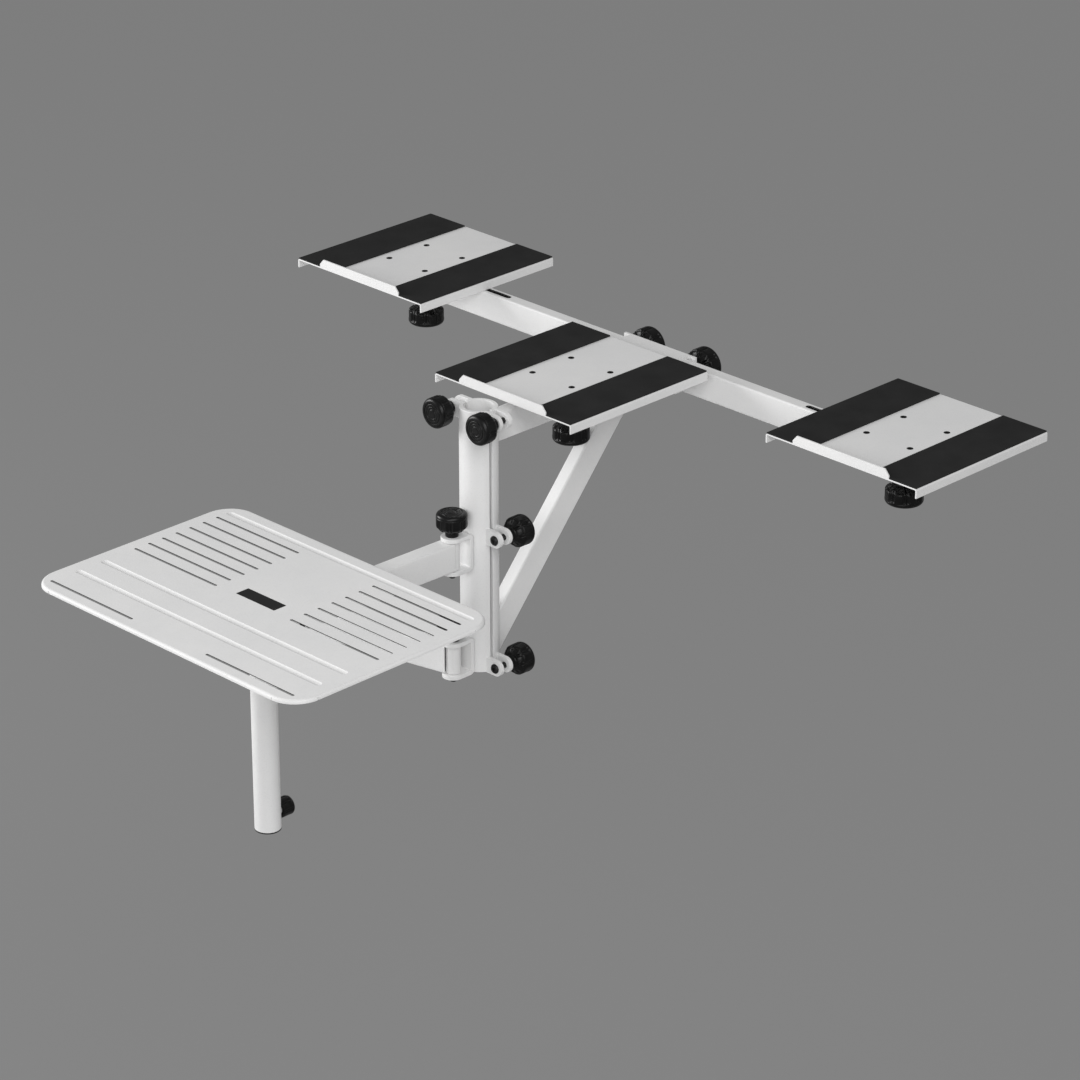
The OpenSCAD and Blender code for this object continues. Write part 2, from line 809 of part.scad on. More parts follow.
// The flat sheet inside the bends, with the folded edge all round it
module folded_sheet() {
    straight = [lap_w - 2 * lap_corner, lap_d - 2 * lap_corner];
    translate([0, 0, -sheet_t]) linear_extrude(sheet_t)
        round_rect_2d(lap_w - 2 * lap_bend_r, lap_d - 2 * lap_bend_r, lap_corner - lap_bend_r);
    for (s = [0, 180]) {
        rotate([0, 0, s]) translate([0, straight.y / 2, 0]) rotate([90, 0, 0])
            linear_extrude(straight.y) edge_fold_2d(lap_w / 2);
        rotate([0, 0, s + 90]) translate([0, straight.x / 2, 0]) rotate([90, 0, 0])
            linear_extrude(straight.x) edge_fold_2d(lap_d / 2);
        rotate([0, 0, s]) translate([straight.x / 2, straight.y / 2, 0])
            rotate_extrude(angle = 90) edge_fold_2d(lap_corner);
        rotate([0, 0, s]) translate([-straight.x / 2, straight.y / 2, 0]) rotate([0, 0, 90])
            rotate_extrude(angle = 90) edge_fold_2d(lap_corner);
    }
}

module laptop_slots_2d() {
    for (s = [0, 1], i = [0:slot_rows - 1]) {
        mirror([s, 0]) translate([0, slot_back_y - i * slot_step]) slot_2d(slot_x_in, slot_x_out, slot_w);
    }
    for (s = [0, 1]) {
        mirror([s, 0]) translate([0, front_slot_y]) slot_2d(slot_x_in, slot_x_out, slot_w);
    }
}

module laptop_tray() {
    color(white_paint) at_laptop(lap_z) difference() {
        union() {
            difference() {
                folded_sheet();
                edge_notches();
            }
            // Ribs that the pressed grooves leave below the sheet
            intersection() {
                union() {
                    for (y = groove_rows) {
                        groove_rod(y, sheet_t);
                    }
                }
                translate([-trim / 2, -trim / 2, -trim - sheet_t / 2]) cube(trim);
            }
            // Studs welded below the sheet, which hold the hub
            for (a = [45:90:315]) {
                rotate([0, 0, a]) translate([hub_stud_circle, 0, -sheet_t - hub_t - hub_stud_out])
                    cylinder(r = hub_stud_r, h = hub_t + hub_stud_out + sheet_t / 2);
            }
        }
        for (y = groove_rows) {
            groove_rod(y, 0);
        }
        translate([0, 0, -2 * sheet_t]) linear_extrude(4 * sheet_t) laptop_slots_2d();
        translate([0, 0, cut / 2]) cube([
            badge_size.x + 2 * badge_play, badge_size.y + 2 * badge_play, 2 * badge_size.z + cut
        ], center = true);
    }
}

module laptop_hub() {
    color(white_paint) at_laptop(hub_z) difference() {
        cylinder(r = hub_r, h = hub_t);
        translate([0, 0, -cut]) cylinder(r = spigot_r + spigot_play, h = hub_t + 2 * cut);
        for (a = [45:90:315]) {
            rotate([0, 0, a]) translate([hub_stud_circle, 0, -cut])
                cylinder(r = hub_stud_r + stud_cross_play, h = hub_t + 2 * cut);
        }
    }
}

module hub_nuts() {
    for (a = [45:90:315]) {
        color(black_steel) at_laptop(hub_z - nut_t) rotate([0, 0, a]) translate([hub_stud_circle, 0, 0])
            difference() {
                hexagon(nut_af, nut_t);
                translate([0, 0, -cut]) cylinder(r = hub_stud_r, h = nut_t + 2 * cut);
            }
    }
}

// A plain black plate in a shallow pocket at the middle of the tray
module laptop_badge() {
    color(black_plastic) at_laptop(lap_z - badge_size.z / 2) cube(badge_size, center = true);
}

// Small trays

module at_tray(x, y, z) {
    translate([x, y, z]) children();
}

module tray_screw_points() {
    for (sx = [-1, 1], sy = [-1, 1]) {
        translate([sx * tray_screw_half, sy * tray_screw_half, 0]) children();
    }
}

// A countersunk screw whose head ends at z = 0
module tray_screw() {
    sink = screw_head_r - screw_r;
    translate([0, 0, -sink]) cylinder(r1 = screw_r, r2 = screw_head_r, h = sink);
    translate([0, 0, -screw_len]) cylinder(r = screw_r, h = screw_len - sink);
}

// The front lip, with bevelled upper corners, in X and Z
module lip_2d() {
    top = lip_rise;
    polygon([
        [-lip_half, -sheet_t], [lip_half, -sheet_t], [lip_half, top - lip_chamfer.y],
        [lip_half - lip_chamfer.x, top], [-lip_half + lip_chamfer.x, top], [-lip_half, top - lip_chamfer.y]
    ]);
}

// A tray folded from sheet: two side flanges down and a lip up at the front
module tray_sheet(x, y) {
    color(white_paint) at_tray(x, y, tray_z) difference() {
        union() {
            translate([0, 0, -flange_drop]) standing_plate(-tray_d / 2, tray_d) difference() {
                round_top_2d(tray_w, flange_drop, bend_r);
                translate([0, -cut])
                    round_top_2d(tray_w - 2 * sheet_t, flange_drop - sheet_t + cut, bend_r_in);
            }
            standing_plate(-tray_d / 2, sheet_t) lip_2d();
        }
        tray_screw_points() tray_screw();
    }
}

// Two rubber pads along the side edges, cut back behind the lip
module tray_pads(x, y) {
    outer = tray_w / 2 - pad_inset;
    color(pad_rubber) at_tray(x, y, tray_z) difference() {
        for (s = [-1, 1]) {
            translate([s * (outer - pad_w / 2), 0, pad_t / 2]) cube([pad_w, tray_d, pad_t], center = true);
        }
        translate([-lip_half - pad_lip_play, -tray_d / 2 - cut, -cut])
            cube([2 * (lip_half + pad_lip_play), cut + sheet_t + pad_lip_play, pad_t + 2 * cut]);
    }
}

// The mount below a tray: a square plate and a round foot that stands on the bar
module tray_mount(x, y) {
    boss_h = tray_z - sheet_t - mount_plate_t - bar_top;
    color(white_paint) at_tray(x, y, bar_top) difference() {
        union() {
            cylinder(r = mount_boss_r, h = boss_h + mount_plate_t / 2);
            translate([0, 0, boss_h]) linear_extrude(mount_plate_t)
                round_rect_2d(2 * mount_plate_half, 2 * mount_plate_half, mount_plate_corner);
        }
        translate([0, 0, -cut]) cylinder(r = neck_hole_r, h = boss_h);
        translate([0, 0, mount_floor]) cylinder(r = bolt_head_r + pocket_play, h = boss_h + mount_plate_t);
        translate([0, 0, boss_h - cut]) tray_screw_points()
            cylinder(r = screw_r, h = mount_plate_t + 2 * cut);
    }
}

module tray_screws(x, y) {
    color(black_steel) at_tray(x, y, tray_z) tray_screw_points() tray_screw();
}

// A round-headed bolt with a square neck, which the bar's slot keeps from turning, and its washer
module tray_bolt(x, y) {
    head_z = bar_top + mount_floor;
    color(black_steel) translate([x, y, 0]) {
        translate([0, 0, head_z]) cylinder(r = bolt_head_r, h = bolt_head_t);
        translate([-neck_half, -neck_half, head_z - neck_len])
            cube([2 * neck_half, 2 * neck_half, neck_len + bolt_head_t / 2]);
        translate([0, 0, bar_low - washer_t - bolt_in_knob])
            cylinder(d = bolt_d, h = head_z - neck_len / 2 - (bar_low - washer_t - bolt_in_knob));
        translate([0, 0, bar_low - washer_t]) cylinder(r = washer_r, h = washer_t);
    }
}

module tray_knob(x, y) {
    translate([x, y, bar_low - washer_t]) rotate([180, 0, 0]) big_knob();
}

module left_tray() { tray_sheet(-side_tray_x, bar_y); }
module left_tray_pads() { tray_pads(-side_tray_x, bar_y); }
module left_tray_mount() { tray_mount(-side_tray_x, bar_y); }
module left_tray_screws() { tray_screws(-side_tray_x, bar_y); }
module left_tray_bolt() { tray_bolt(-side_tray_x, bar_y); }
module left_tray_knob() { tray_knob(-side_tray_x, bar_y); }

module middle_tray() { tray_sheet(0, mid_tray_y); }
module middle_tray_pads() { tray_pads(0, mid_tray_y); }
module middle_tray_mount() { tray_mount(0, mid_tray_y); }
module middle_tray_screws() { tray_screws(0, mid_tray_y); }
module middle_tray_bolt() { tray_bolt(0, mid_tray_y); }
module middle_tray_knob() { tray_knob(0, mid_tray_y); }

module right_tray() { tray_sheet(side_tray_x, bar_y); }
module right_tray_pads() { tray_pads(side_tray_x, bar_y); }
module right_tray_mount() { tray_mount(side_tray_x, bar_y); }
module right_tray_screws() { tray_screws(side_tray_x, bar_y); }
module right_tray_bolt() { tray_bolt(side_tray_x, bar_y); }
module right_tray_knob() { tray_knob(side_tray_x, bar_y); }

// Crossbar and rear frame

module crossbar() {
    color(white_paint) translate([0, bar_y, bar_low]) difference() {
        rect_tube(-bar_len / 2, bar_len / 2, bar_t, bar_h);
        for (s = [0, 1]) {
            mirror([s, 0, 0]) translate([0, 0, -cut]) linear_extrude(bar_h + 2 * cut)
                slot_2d(slot_in, slot_out, 2 * long_slot_half);
        }
    }
}

module crossbar_plug_right() {
    color(black_plastic) translate([bar_len / 2, bar_y, bar_low]) rect_plug(bar_t, bar_h);
}

module crossbar_plug_left() {
    mirror([1, 0, 0]) crossbar_plug_right();
}

// A welded sleeve that the crossbar slides through, with a longer back plate for the two knobs
module crossbar_receiver() {
    depth = sleeve_back - sleeve_front;
    height = bar_h + 2 * sleeve_play + 2 * sleeve_t;
    low = bar_low - sleeve_play - sleeve_t;
    color(white_paint) difference() {
        union() {
            translate([-sleeve_half, sleeve_front, low]) cube([2 * sleeve_half, depth, height]);
            translate([-back_plate_half, sleeve_back - sleeve_t, low])
                cube([2 * back_plate_half, sleeve_t, height]);
        }
        translate([-trim / 2, sleeve_front + sleeve_t, low + sleeve_t])
            cube([trim, depth - 2 * sleeve_t, height - 2 * sleeve_t]);
        for (s = [-1, 1]) {
            rod_y(s * receiver_knob_x, bar_low + bar_h / 2, bar_y, sleeve_back + cut, thread_r);
        }
    }
}

module receiver_knob(side) {
    reach = sleeve_back - bar_y - bar_t / 2 - receiver_stud_gap;
    translate([side * receiver_knob_x, sleeve_back, bar_low + bar_h / 2]) rotate([-90, 0, 0])
        stud_knob(big_knob_d, big_neck_d, big_neck_h, knob_h, big_knob_lobes, bolt_d, reach);
}

module receiver_knob_left() { receiver_knob(-1); }
module receiver_knob_right() { receiver_knob(1); }

// The support arm runs from the flat seat on the rear shell to the receiver
module support_arm() {
    color(white_paint) difference() {
        translate([0, 0, bar_low]) rotate([0, 0, 90]) rect_tube(seat_y, sleeve_front, bar_t, bar_h);
        translate([-long_slot_half, mid_tray_y - long_slot_half, bar_top - tube_wall - cut])
            cube([2 * long_slot_half, 2 * long_slot_half, tube_wall + 2 * cut]);
        translate([0, mid_tray_y, bar_low - cut])
            cylinder(r = (bolt_d + bolt_play) / 2, h = tube_wall + 2 * cut);
    }
}

// The brace is a tube cut to the flat seat at its foot and to the support arm's underside at its head
module brace() {
    start = -bar_h;
    end = (bar_low - brace_foot_z) / sin(brace_slope) + bar_h;
    color(white_paint) intersection() {
        translate([0, seat_y, brace_foot_z]) rotate([0, 0, 90]) rotate([0, -brace_slope, 0])
            rect_tube(start, end, bar_t, bar_h);
        translate([-trim / 2, seat_y, bar_low - trim]) cube(trim);
    }
}

back_shell();
support_arm();
brace();
crossbar_receiver();
top_clamp_bolts();
middle_tray_bolt();
front_shell();
upper_hinge_bracket();
lower_hinge_bracket();
front_clamp_bolts();
upper_pivot_stud();
lower_pivot_stud();
clamp_knob_low_left();
clamp_knob_low_right();
clamp_knob_mid_left();
clamp_knob_mid_right();
clamp_knob_top_left();
clamp_knob_top_right();
upper_pivot_knob();
lower_pivot_knob();
receiver_knob_left();
receiver_knob_right();
left_tray_knob();
middle_tray_knob();
right_tray_knob();
post_thumb_knob();
upper_arm();
upper_bushing();
post_stub();
stub_bolts();
post_tube();
post_plug();
inner_post();
lower_arm();
lower_bushing();
lower_arm_plug();
laptop_tray();
laptop_hub();
hub_nuts();
laptop_badge();
crossbar();
crossbar_plug_left();
crossbar_plug_right();
left_tray_bolt();
right_tray_bolt();
left_tray();
left_tray_pads();
left_tray_mount();
left_tray_screws();
middle_tray();
middle_tray_pads();
middle_tray_mount();
middle_tray_screws();
right_tray();
right_tray_pads();
right_tray_mount();
right_tray_screws();
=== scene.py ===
"""Looks of the clamp-on studio desk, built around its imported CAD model.

Lengths are in metres. The profiles of knobs and screws, the widths of rounded edges and the lens
are in millimetres.
"""

import json
import math

import bmesh
import bpy
from mathutils import Matrix, Vector

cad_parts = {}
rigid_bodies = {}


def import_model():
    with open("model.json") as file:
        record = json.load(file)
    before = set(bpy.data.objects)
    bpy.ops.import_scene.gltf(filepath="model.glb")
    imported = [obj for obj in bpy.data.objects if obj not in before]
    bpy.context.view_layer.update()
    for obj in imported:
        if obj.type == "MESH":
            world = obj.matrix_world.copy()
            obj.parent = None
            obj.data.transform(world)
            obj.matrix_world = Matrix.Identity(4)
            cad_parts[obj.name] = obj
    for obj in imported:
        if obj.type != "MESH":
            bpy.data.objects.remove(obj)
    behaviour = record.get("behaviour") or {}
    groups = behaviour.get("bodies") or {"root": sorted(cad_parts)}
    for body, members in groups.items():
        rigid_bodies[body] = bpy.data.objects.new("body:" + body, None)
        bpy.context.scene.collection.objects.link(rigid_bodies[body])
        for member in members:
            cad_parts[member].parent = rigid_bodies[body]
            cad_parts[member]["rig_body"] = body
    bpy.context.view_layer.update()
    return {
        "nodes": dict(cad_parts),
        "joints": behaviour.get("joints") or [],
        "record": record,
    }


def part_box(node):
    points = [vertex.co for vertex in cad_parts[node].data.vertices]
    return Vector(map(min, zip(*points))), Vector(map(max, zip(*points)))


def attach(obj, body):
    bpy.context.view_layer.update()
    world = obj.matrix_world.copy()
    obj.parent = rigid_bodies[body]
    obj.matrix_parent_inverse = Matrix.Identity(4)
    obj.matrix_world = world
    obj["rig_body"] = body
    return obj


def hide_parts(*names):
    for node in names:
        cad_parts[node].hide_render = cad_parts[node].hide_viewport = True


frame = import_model()

MM = 0.001
JOINTS = {joint["name"]: joint for joint in frame["joints"]}
NODE_SLOT = {part["node"]: part["material_slot"] for part in frame["record"]["subparts"]}
BODY_OF = {name: node["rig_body"] for name, node in frame["nodes"].items()}

# Camera, found from the photo
EYE = Vector((3.6119, -3.4988, 2.4765))
VIEW_FORWARD = Vector((-0.6433, 0.6433, -0.4151))
VIEW_UP = Vector((-0.2934, 0.2934, 0.9097))
FOCAL_LENGTH = 139.58
SENSOR_WIDTH = 36.0
CLIP_NEAR = 0.1
CLIP_FAR = 100

# Floor and surround; the seen values are for rays that show the background
FLOOR_Z = -0.75
FLOOR_HALF = 30.0
FLOOR_CELLS = 8
FLOOR_ALBEDO = 0.6
FLOOR_CLOUD_DEPTH = 0.02
FLOOR_CLOUD_SCALE = 1.2
FLOOR_SEEN_ALBEDO = 0.36
FLOOR_SEEN_SHARE = 0.15
BACKDROP_GREY = 0.2159
SURROUND_STRENGTH = 0.33

# Softboxes: name, place, width, height and power
LAMP_AIM = Vector((0, 0, 0.2))
LAMPS = (
    ("left_key", (-3.51, -2.03, 1.29), 2.0, 1.8, 128),
    ("front_fill", (1.97, -3.42, 1.64), 2.0, 1.8, 47),
    ("high_fill", (2.79, -1.61, 2.90), 2.0, 2.0, 61),
)


# Node trees

# Sockets of a Mix node that mixes colours
MIX_SHARE = 0
MIX_FIRST = 6
MIX_SECOND = 7
MIX_RESULT = 2


def feed(tree, socket, value):
    """Links another node's output to a socket, or writes a plain value into it."""
    if isinstance(value, bpy.types.NodeSocket):
        tree.links.new(value, socket)
    else:
        socket.default_value = value


def add(tree, kind, inputs=None, **settings):
    """A new node with its settings and the values or links of its inputs."""
    made = tree.nodes.new("ShaderNode" + kind)
    for key, value in settings.items():
        setattr(made, key, value)
    for key, value in (inputs or {}).items():
        feed(tree, made.inputs[key], value)
    return made


def object_place(tree):
    return add(tree, "TexCoord").outputs["Object"]


def noise(tree, place, scale, detail=2.0, rough=0.5):
    inputs = {"Vector": place, "Scale": scale, "Detail": detail, "Roughness": rough}
    return add(tree, "TexNoise", inputs).outputs["Fac"]


def mapped(tree, value, band, target):
    """A value stretched from one range to another and kept inside it."""
    inputs = {"Value": value, "From Min": band[0], "From Max": band[1]}
    inputs.update({"To Min": target[0], "To Max": target[1]})
    return add(tree, "MapRange", inputs).outputs["Result"]


def mixed(tree, share, first, second, blend="MIX"):
    """A colour between two others."""
    inputs = {MIX_SHARE: share, MIX_FIRST: first, MIX_SECOND: second}
    return add(tree, "Mix", inputs, data_type="RGBA", blend_type=blend).outputs[MIX_RESULT]


def shader_mix(tree, share, first, second):
    return add(tree, "MixShader", {0: share, 1: first, 2: second}).outputs[0]


def grey(value, warm=0.0):
    return (value * (1 + warm), value, value * (1 - warm), 1.0)


# Materials

# The ranges that hold most values of a noise, for soft and for crisp patterns
SOFT_BAND = (0.3, 0.7)
CRISP_BAND = (0.35, 0.65)

# Faint dark specks in the powder coat
SPECK_BAND = (0.35, 0.42)
SPECK_TONES = (0.93, 1.0)
SPECK_SHARE = 0.5


class Finish:
    """A principled material in the making."""

    def __init__(self, name):
        self.material = bpy.data.materials.new(name)
        self.material.use_nodes = True
        self.tree = self.material.node_tree
        self.shader = next(n for n in self.tree.nodes if n.type == "BSDF_PRINCIPLED")
        self.place = object_place(self.tree)

    def noise(self, **settings):
        return noise(self.tree, self.place, **settings)

    def blend(self, pattern, band, dark, light):
        """A tone that runs from dark to light with a pattern."""
        return mixed(self.tree, mapped(self.tree, pattern, band, (0.0, 1.0)), dark, light)

    def set(self, name, value):
        feed(self.tree, self.shader.inputs[name], value)

    def set_roughness(self, pattern, rough_range):
        self.set("Roughness", mapped(self.tree, pattern, SOFT_BAND, rough_range))

    def set_bump(self, height, strength, distance):
        inputs = {"Height": height, "Strength": strength, "Distance": distance}
        self.set("Normal", add(self.tree, "Bump", inputs).outputs["Normal"])


def powder_coat(name, light, dark, rough_range, grain_height):
    """Powder-coated steel: a fine orange-peel grain, faint clouds of tone and uneven gloss."""
    made = Finish(name)
    clouds = made.noise(scale=9.0, detail=4.0, rough=0.55)
    tone = made.blend(clouds, SOFT_BAND, dark, light)
    specks = mapped(made.tree, made.noise(scale=520.0, detail=1.0), SPECK_BAND, SPECK_TONES)
    made.set("Base Color", mixed(made.tree, SPECK_SHARE, tone, specks, blend="MULTIPLY"))
    made.set_roughness(made.noise(scale=60.0, detail=3.0), rough_range)
    made.set_bump(made.noise(scale=900.0, rough=0.6), strength=0.35, distance=grain_height)
    made.set("Specular IOR Level", 0.4)
    return made.material


def moulded_plastic(name, light, dark, rough_range, grain_scale, grain_height):
    """Moulded plastic with a fine eroded grain and faint flow marks."""
    made = Finish(name)
    flow = made.noise(scale=70.0, detail=5.0, rough=0.6)
    made.set("Base Color", made.blend(flow, CRISP_BAND, dark, light))
    made.set_roughness(flow, rough_range)
    made.set_bump(made.noise(scale=grain_scale, rough=0.7), strength=0.4, distance=grain_height)
    made.set("Specular IOR Level", 0.28)
    return made.material


def rubber_sheet(name, light, dark, rough_range):
    """Matt foam rubber: small closed cells, dusty tone."""
    made = Finish(name)
    clouds = made.noise(scale=26.0, detail=4.0, rough=0.6)
    cells = add(made.tree, "TexVoronoi", {"Vector": made.place, "Scale": 1100.0})
    made.set("Base Color", made.blend(clouds, SOFT_BAND, dark, light))
    made.set_roughness(clouds, rough_range)
    made.set_bump(cells.outputs["Distance"], strength=0.5, distance=0.00012)
    made.set("Specular IOR Level", 0.12)
    return made.material


def dark_steel(name, light, dark, rough_range):
    """Black oxide steel: dark metal with a faint mottle and fine scratches."""
    made = Finish(name)
    mottle = made.noise(scale=140.0, detail=5.0, rough=0.65)
    made.set("Base Color", made.blend(mottle, CRISP_BAND, dark, light))
    made.set_roughness(mottle, rough_range)
    made.set_bump(mottle, strength=0.2, distance=0.00003)
    made.set("Metallic", 0.75)
    return made.material


def painted_shade_finish(name, light, dark, rough_range):
    """Painted shade for slot walls and a tube's inside: a dark, uneven tone where shade falls."""
    made = Finish(name)
    patches = made.noise(scale=240.0, detail=3.0, rough=0.6)
    made.set("Base Color", made.blend(patches, CRISP_BAND, dark, light))
    made.set_roughness(patches, rough_range)
    made.set_bump(patches, strength=0.3, distance=0.00005)
    made.set("Specular IOR Level", 0.2)
    return made.material


WHITE = powder_coat("white_powder_coat", grey(0.80, warm=0.004), grey(0.765), (0.42, 0.55), 0.00008)
KNOB_PLASTIC = moulded_plastic("black_knob_plastic", grey(0.006), grey(0.003), (0.28, 0.4), 900.0, 0.00004)
PLUG_PLASTIC = moulded_plastic("black_plug_plastic", grey(0.009), grey(0.005), (0.45, 0.6), 700.0, 0.00006)
BADGE = moulded_plastic("black_badge_plate", grey(0.012), grey(0.008), (0.3, 0.42), 1300.0, 0.00003)
STEEL = dark_steel("black_oxide_steel", grey(0.045), grey(0.02), (0.32, 0.5))
SCREW_STEEL = dark_steel("black_screw_steel", grey(0.018), grey(0.008), (0.45, 0.6))
RUBBER = rubber_sheet("black_pad_rubber", grey(0.026), grey(0.019), (0.78, 0.92))
# Painted shade: the dark tone of the laptop tray's slot walls and of the crossbar's inside
SLOT_PAINTED_SHADE = painted_shade_finish("painted_slot_shade", grey(0.06), grey(0.03), (0.6, 0.8))

# The finish of each material slot in the record, and of the nodes with one of their own
SLOT_MATERIAL = {
    "white_paint": WHITE,
    "black_plastic": PLUG_PLASTIC,
    "black_steel": STEEL,
    "pad_rubber": RUBBER,
}
OWN_MATERIAL = {"laptop_badge": BADGE}


# Objects

KNOB_SMOOTH_ANGLE = 40
SCREW_SMOOTH_ANGLE = 35
SHEET_SMOOTH_ANGLE = 50
LARGE_FACE_WEIGHT = 80


def new_object(name, mesh, *materials):
    """An object whose faces keep their choice among its materials."""
    made = bpy.data.objects.new(name, mesh)
    chosen = [min(face.material_index, len(materials) - 1) for face in mesh.polygons]
    mesh.materials.clear()
    for one in materials:
        mesh.materials.append(one)
    mesh.polygons.foreach_set("material_index", chosen)
    bpy.context.scene.collection.objects.link(made)
    return made


def weigh_normals(piece):
    """Lets large faces keep their direction beside narrow bevels."""
    modifier = piece.modifiers.new("weighted", "WEIGHTED_NORMAL")
    modifier.keep_sharp = True
    modifier.weight = LARGE_FACE_WEIGHT


def stand_in(node, mesh, smooth_angle, *materials, weighted=False):
    """A smooth piece in place of a CAD node; edges sharper than the angle stay crisp."""
    piece = new_object(node + "_finish", mesh, *materials)
    mesh.polygons.foreach_set("use_smooth", [True] * len(mesh.polygons))
    mesh.set_sharp_from_angle(angle=math.radians(smooth_angle))
    if weighted:
        weigh_normals(piece)
    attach(piece, BODY_OF[node])
    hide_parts(node)


def grid_mesh(name, rows, start_tip, end_tip):
    """A mesh from rings of points, each ring closed on itself, with a fan to a tip at both ends."""
    work = bmesh.new()
    rings = [[work.verts.new(point) for point in row] for row in rows]
    count = len(rings[0])
    for low, high in zip(rings, rings[1:]):
        for i in range(count):
            j = (i + 1) % count
            work.faces.new((low[i], low[j], high[j], high[i]))
    for place, ring, flip in ((start_tip, rings[0], True), (end_tip, rings[-1], False)):
        tip = work.verts.new(place)
        for i in range(count):
            j = (i + 1) % count
            work.faces.new((tip, ring[j], ring[i]) if flip else (tip, ring[i], ring[j]))
    bmesh.ops.recalc_face_normals(work, faces=work.faces)
    mesh = bpy.data.meshes.new(name)
    work.to_mesh(mesh)
    work.free()
    return mesh


def axis_matrix(origin, axis):
    """Turns +Z to an axis and puts it at a point."""
    turn = Vector((0, 0, 1)).rotation_difference(Vector(axis)).to_matrix().to_4x4()
    return Matrix.Translation(Vector(origin)) @ turn


def around(reach, angle, height):
    """A point in metres at a distance in millimetres from the Z axis."""
    return Vector((reach * math.cos(angle), reach * math.sin(angle), height)) * MM


# Knobs

KNOB_STEPS = 24

# Finger grooves, each with a rib in its middle; half widths are shares of a lobe
SCALLOP_DEPTH = 1.5
SCALLOP_HALF = 0.27
SCALLOP_FLOOR = 0.45
SCALLOP_FLANK = 0.55
RIB_HALF = 0.045
RIB_CREST = 0.6
RIB_FLANK = 0.8
RIB_HEIGHT = 0.75

# Height of the rounded underside and of the rounded rim, as shares of the body's height
UNDER_SHARE = 0.34
RIM_SHARE = 0.2

# Pockets in the underside, with webs between them
POCKET_DEPTH = 2.6
WEB_GAIN = 1.3
WEB_OFFSET = 0.2

# Neck: step out from its radius and height, from the seat and from the body
BORE_CHAMFER = 0.4
NECK_FOOT = ((-0.8, 0.0), (-0.25, 0.25), (0.0, 0.8))
NECK_TOP = ((0.0, -1.4), (0.25, -0.6), (1.0, -0.1))
NECK_FILLET = 1.0

# Underside: steps of its arc, and where grooves and pockets begin and end
UNDER_STEPS = 14
UNDER_STEP_ANGLE = 6
GROOVE_FIRST_STEP = 5
GROOVE_RISE_STEPS = 7
POCKET_STEPS = 13.0

# Height of the grip's first rings above the underside
GRIP_START = (0.2, 1.0)
# End of the grip: step in, distance below the rim at a detail scale of 1, and share of the groove
GRIP_END = ((0.0, 3.2, 1), (0.0, 2.2, 0.75), (0.0, 1.5, 0.2), (0.0, 1.1, 0), (0.3, 0.6, 0))
RIM_LINE = 0.1
RIM_STEPS = 8

# Rings in the face: share of the radius and depth; their points' step out and share of the depth
FACE_RINGS = ((0.66, 0.7), (0.47, 0.45), (0.3, 0.35))
RING_SHAPE = ((0.9, 0.0), (0.55, -0.2), (0.3, -1.0), (-0.3, -1.0), (-0.55, -0.2))
RING_INNER_EDGE = (0.9, 0.05)
# Middle of the face: share of the radius and rise
FACE_MIDDLE = ((0.16, 0.35), (0.07, 0.4))
FACE_CROWN = 0.4

# Hollow skirt of the thumb knob, round the post's boss
SKIRT_REACH = 2.4
SKIRT_BORE = 7.6
SKIRT_ROOM = 0.3
SKIRT_SEAT = ((-0.8, 0.0), (-0.4, SKIRT_ROOM))
# Step in from the skirt's radius, height above its foot and share of the groove
SKIRT_EDGE = ((1.1, 0.0, 0), (0.35, 0.25, 0.4), (0.0, 0.9, 1))
SKIRT_RINGS = (0.5, 3.0)
SKIRT_CHAMFER = 0.2

SMALL_KNOB = {
    "radius": 21.0, "neck_r": 9.0, "neck_h": 8.0, "body_h": 26.0, "lobes": 7,
    "bore_r": 4.2, "bore_h": 24.0, "scale": 1.0,
}
BIG_KNOB = {
    "radius": 25.5, "neck_r": 11.0, "neck_h": 14.0, "body_h": 26.0, "lobes": 8,
    "bore_r": 4.2, "bore_h": 30.0, "scale": 1.1,
}
THUMB_KNOB = {
    "radius": 13.0, "neck_r": 6.0, "neck_h": 3.5, "body_h": 13.0, "lobes": 7,
    "bore_r": 3.2, "bore_h": 12.5, "scale": 0.55, "skirted": True,
}
KNOB_KIND = {
    "post_thumb_knob": THUMB_KNOB,
    "receiver_knob_left": BIG_KNOB,
    "receiver_knob_right": BIG_KNOB,
    "left_tray_knob": BIG_KNOB,
    "middle_tray_knob": BIG_KNOB,
    "right_tray_knob": BIG_KNOB,
}


def eased(value):
    """A smooth step from 0 to 1."""
    value = min(1.0, max(0.0, value))
    return value * value * (3 - 2 * value)


def groove_depth(lobes, angle):
    """How deep the finger groove with its middle rib is at an angle, as a share of the full depth."""
    offset = (angle * lobes / (2 * math.pi) + 0.5) % 1.0 - 0.5
    dip = 1 - eased((abs(offset) - SCALLOP_HALF * SCALLOP_FLOOR) / (SCALLOP_HALF * SCALLOP_FLANK))
    rib = 1 - eased((abs(offset) - RIB_HALF * RIB_CREST) / (RIB_HALF * RIB_FLANK))
    return dip - rib * RIB_HEIGHT * dip


def neck_and_underside(radius, neck_r, neck_h, under_h):
    """Rings of a knob's neck and of the rounded, pocketed underside of its body."""
    profile = [(neck_r + out, up, 0, 0) for out, up in NECK_FOOT]
    profile += [(neck_r, neck_h * 0.5, 0, 0)]
    profile += [(neck_r + out, neck_h + up, 0, 0) for out, up in NECK_TOP]
    for step in range(1, UNDER_STEPS + 1):
        a = math.radians(step * UNDER_STEP_ANGLE)
        r = neck_r + NECK_FILLET + (radius - neck_r - NECK_FILLET) * math.sin(a)
        z = neck_h + under_h * (1 - math.cos(a))
        groove = eased((step - GROOVE_FIRST_STEP) / GROOVE_RISE_STEPS)
        profile.append((r, z, groove, math.sin(math.pi * eased(step / POCKET_STEPS))))
    return profile


